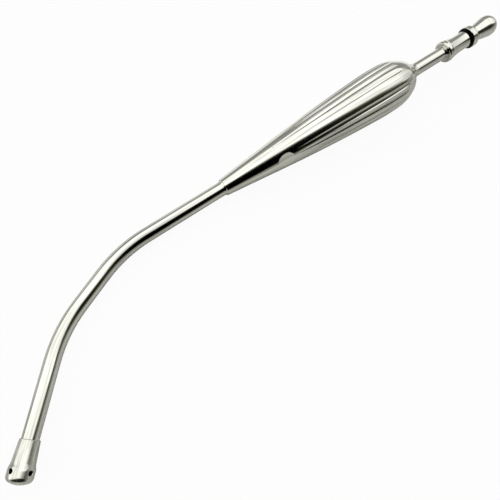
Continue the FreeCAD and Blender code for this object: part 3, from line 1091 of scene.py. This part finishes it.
@dataclass(frozen=True)
class Strip:
    """Long strip of the studio that runs along X, seen by the angle from +Z towards -Y.

    The angle of its middle is the strip's angle plus its lean times the X part of the direction.
    Its strength is 1 up to the core's half width, and falls smoothly to 0 at the rim's. Towards +X
    it fades from the first to the second of its ends, each the X part of a direction, to a share
    of its strength, and both half widths shrink by the taper times the X part.
    """

    name: str
    angle: float
    lean: float
    core: float
    rim: float
    ends: tuple[float, float]
    share: float
    taper: float

    def strength(self, tree: bpy.types.NodeTree, angle: bpy.types.NodeSocket,
                 along: bpy.types.NodeSocket) -> bpy.types.NodeSocket:
        """Add the strip to the world.

        Args:
            tree: Node tree of the world.
            angle: Angle of the ray from +Z towards -Y, in radians.
            along: X part of the ray's direction.

        Returns:
            Strength of the strip along the ray.
        """
        middle = add_math(tree, "MULTIPLY_ADD", along, math.radians(self.lean),
                          math.radians(self.angle))
        middle.node.label = self.name
        away = add_math(tree, "ABSOLUTE", add_math(tree, "SUBTRACT", angle, middle))
        ahead = add_math(tree, "MAXIMUM", along, 0.0)
        narrowed = add_math(tree, "MULTIPLY_ADD", ahead, math.radians(self.taper), away)
        across = add_fade(tree, narrowed, math.radians(self.core), math.radians(self.rim),
                          (1.0, 0.0))
        faded = add_fade(tree, along, *self.ends, (1.0, self.share))
        return add_math(tree, "MULTIPLY", across, faded)


@dataclass
class Studio:
    """Pale floor, a long soft light over the upper left and a dark gap on the right of it."""

    floor_size: float = 3.0
    floor_colour: str = "#CFCFCC"
    paper_share: float = 0.95
    # Painted pool of light on the paper, seen only in the steel's reflections.
    painted_pool_middle: float = 85.0
    painted_pool_core: float = 35.0
    painted_pool_rim: float = 54.0
    painted_pool_level: float = 0.55
    room_level: float = 0.46
    dim_colour: str = "#FFFFC8"
    lamp_level: float = 1.4
    lamp: Strip = Strip("long soft light", -19.0, 27.0, 30.0, 47.0, (0.5, 1.0), 0.5, 0.0)
    gap: Strip = Strip("dark gap", 49.0, 0.0, 31.0, 47.0, (0.2, 0.7), 0.82, 40.0)
    camera_place: tuple[float, float, float] = (-83.626, -50.209, 186.689)
    camera_target: tuple[float, float, float] = (-28.457, -7.487, 8.0)
    camera_roll: float = 17.501
    photo_size: float = 500.0
    focal_pixels: float = 480.0
    sensor: float = 36.0
    clip_start: float = 0.005

    def lay_floor(self) -> None:
        """Floor of pale paper, white to the camera, with a trace of the object's shadow.

        In the steel the paper shows a painted pool of light beside the object, on the lamp's side:
        it glows for glossy rays only and is lit by no lamp. It has its full level up to the core's
        distance from the pool's middle, and none from the rim's.
        """
        half = self.floor_size / 2.0
        mesh = bpy.data.meshes.new("floor")
        mesh.from_pydata([(-half, -half, 0), (half, -half, 0), (half, half, 0), (-half, half, 0)],
                         [], [(0, 1, 2, 3)])
        floor = bpy.data.objects.new("floor", mesh)
        bpy.context.scene.collection.objects.link(floor)
        material = bpy.data.materials.new("pale_paper")
        material.use_nodes = True
        tree = material.node_tree
        tree.nodes.clear()
        path = add_node(tree, "ShaderNodeLightPath")
        seen = add_math(tree, "MULTIPLY", path.outputs["Is Camera Ray"], self.paper_share)
        place = add_node(tree, "ShaderNodeTexCoord")
        parts = add_node(tree, "ShaderNodeSeparateXYZ", None, {0: place.outputs["Object"]})
        # Painted pool of light: a glow for glossy rays only, in a band along Y on the lamp's side.
        offset = add_math(tree, "SUBTRACT", parts.outputs["Y"], self.painted_pool_middle * MM)
        painted_pool = add_fade(tree, add_math(tree, "ABSOLUTE", offset), self.painted_pool_core * MM,
                        self.painted_pool_rim * MM, (self.painted_pool_level, 0.0))
        mirrored = add_math(tree, "MULTIPLY", painted_pool, path.outputs["Is Glossy Ray"])
        glow = add_node(tree, "ShaderNodeEmission", {"Color": WHITE}, {"Strength": mirrored})
        paper = add_node(tree, "ShaderNodeBsdfDiffuse", {"Color": linear(self.floor_colour)})
        lit = add_node(tree, "ShaderNodeAddShader", None, {0: paper.outputs[0], 1: glow.outputs[0]})
        white = add_node(tree, "ShaderNodeEmission", {"Color": WHITE, "Strength": 1.0})
        mix = add_node(tree, "ShaderNodeMixShader", None,
                       {0: seen, 1: lit.outputs[0], 2: white.outputs[0]})
        add_node(tree, "ShaderNodeOutputMaterial", None, {"Surface": mix.outputs[0]})
        mesh.materials.append(material)

    def light(self) -> None:
        """World of an even grey room with the lamp added and the dark gap taken out.

        Level = (room + lamp level * lamp) * (1 - gap). Below the room's level the light takes on
        the dim colour.
        """
        world = bpy.data.worlds.new("studio")
        bpy.context.scene.world = world
        world.use_nodes = True
        tree = world.node_tree
        tree.nodes.clear()
        way = add_node(tree, "ShaderNodeTexCoord")
        parts = add_node(tree, "ShaderNodeSeparateXYZ", None, {0: way.outputs["Generated"]})
        towards = add_math(tree, "MULTIPLY", parts.outputs["Y"], -1.0)
        angle = add_math(tree, "ARCTAN2", towards, parts.outputs["Z"])
        lamp = self.lamp.strength(tree, angle, parts.outputs["X"])
        gap = self.gap.strength(tree, angle, parts.outputs["X"])
        bright = add_math(tree, "MULTIPLY_ADD", lamp, self.lamp_level, self.room_level)
        level = add_math(tree, "MULTIPLY", bright, add_math(tree, "SUBTRACT", 1.0, gap))
        full = add_node(tree, "ShaderNodeMapRange", {"From Min": 0.0, "From Max": self.room_level},
                        {"Value": level})
        tone = add_node(tree, "ShaderNodeMix", {"data_type": "RGBA"}, {0: full.outputs[0]})
        tone.inputs[6].default_value = linear(self.dim_colour)
        tone.inputs[7].default_value = WHITE
        lit = add_node(tree, "ShaderNodeBackground", None,
                       {"Color": tone.outputs[2], "Strength": level})
        white = add_node(tree, "ShaderNodeBackground", {"Color": WHITE, "Strength": 1.0})
        path = add_node(tree, "ShaderNodeLightPath")
        mix = add_node(tree, "ShaderNodeMixShader", None,
                       {0: path.outputs["Is Camera Ray"], 1: lit.outputs[0], 2: white.outputs[0]})
        add_node(tree, "ShaderNodeOutputWorld", None, {"Surface": mix.outputs[0]})

    def stand_camera(self) -> None:
        """Camera close over the bend, rolled to the slant of the photograph."""
        data = bpy.data.cameras.new("camera")
        data.sensor_width = self.sensor
        data.lens = self.sensor * self.focal_pixels / self.photo_size
        data.clip_start = self.clip_start
        camera = bpy.data.objects.new("camera", data)
        place = Vector(self.camera_place) * MM
        sight = Vector(self.camera_target) * MM - place
        aim = sight.to_track_quat("-Z", "Y").to_matrix().to_4x4()
        roll = Matrix.Rotation(math.radians(self.camera_roll), 4, "Z")
        camera.matrix_world = Matrix.Translation(place) @ aim @ roll
        bpy.context.scene.collection.objects.link(camera)
        bpy.context.scene.camera = camera

    def set_up(self) -> None:
        """Floor, light, camera and plain view transform."""
        self.lay_floor()
        self.light()
        self.stand_camera()
        bpy.context.scene.view_settings.view_transform = "Standard"


def dress(piece: bpy.types.Object, node: str) -> None:
    """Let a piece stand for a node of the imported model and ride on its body."""
    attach(piece, "root")
    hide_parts(node)


def main() -> None:
    """Build the instrument piece by piece, then the studio."""
    logging.basicConfig(level=logging.INFO, format="%(name)s %(message)s")
    lying = Lying()
    tube = Tube()
    handle = Handle()
    solder = Solder(handle)
    ground = Steel("stainless_steel_ground_lengthwise", Grain.LENGTHWISE)
    satin = Steel("stainless_steel_satin", Grain.LENGTHWISE, roughness=0.24, line_depth=0.03,
                  line_length=12.0)
    turned = Steel("stainless_steel_turned", Grain.TURNED, line_pitch=0.18, line_depth=0.006,
                   line_length=40.0)
    fillet = Steel("silver_solder_polished", Grain.TURNED, line_pitch=0.3, line_depth=0.006)
    # Painted shade: dark steel on the faces in recesses stands in for the shade that falls there.
    recess = Steel("steel_painted_recess_shade", Grain.TURNED, light="#2E2D2B", dark="#201F1E",
                   roughness=0.5, line_depth=0.003)
    finishes_and_shade = {steel: steel.material() for steel in (ground, satin, turned, fillet, recess)}
    plan = (
        (tube.skin(), "suction_tube", "tube_steel", ground),
        (Tip().skin(tube), "bulb_tip", "tip_steel", satin),
        (handle.skin(), "handle_shell", "handle_steel", ground),
        (Connector().skin(), "hose_connector", "connector_steel", turned),
        (solder.front(), "front_solder_fillet", "solder", fillet),
        (solder.rear(), "rear_solder_fillet", "solder", fillet),
    )
    for skin, node, slot, steel in plan:
        dress(skin.build(lying, [finishes_and_shade[steel], finishes_and_shade[recess]]), node)
    Studio().set_up()


if __name__ == "__main__":
    main()
